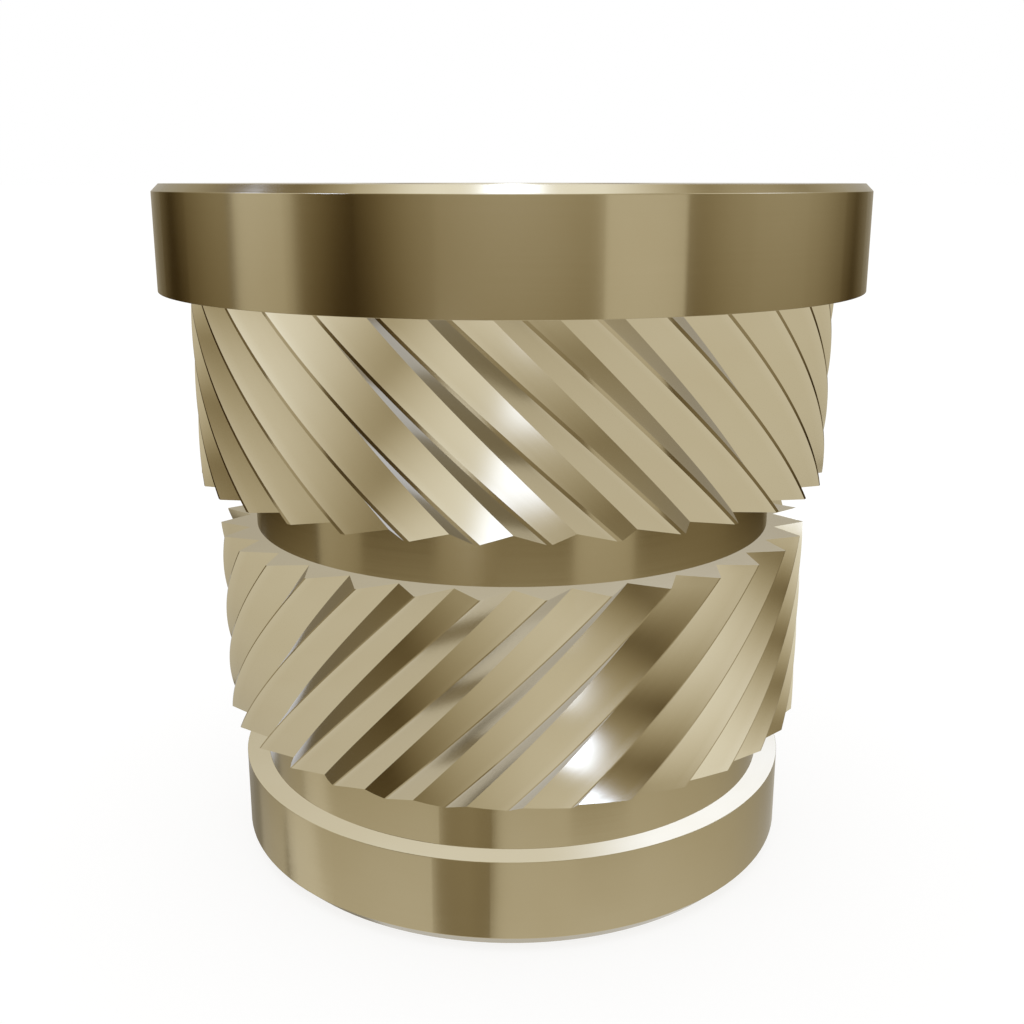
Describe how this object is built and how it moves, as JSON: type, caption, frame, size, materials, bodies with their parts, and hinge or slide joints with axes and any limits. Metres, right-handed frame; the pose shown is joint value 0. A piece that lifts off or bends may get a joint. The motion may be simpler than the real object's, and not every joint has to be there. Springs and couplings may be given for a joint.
{
  "type": "flanged threaded insert",
  "caption": "Flanged brass insert with two oppositely wound knurled bands, a plain pilot and a threaded through bore that takes a machine screw in plastic.",
  "frame": {"origin": "centre of the pilot's end face, on which the insert stands", "axes": "+Z along the bore axis, from the pilot's end to the flange; -Y is the side that the picture shows"},
  "size_m": [0.006, 0.006, 0.0058],
  "materials": {
    "brass": "bright turned and knurled"
  },
  "bodies": {
    "root": {"threaded_insert": "brass"}
  },
  "joints": []
}
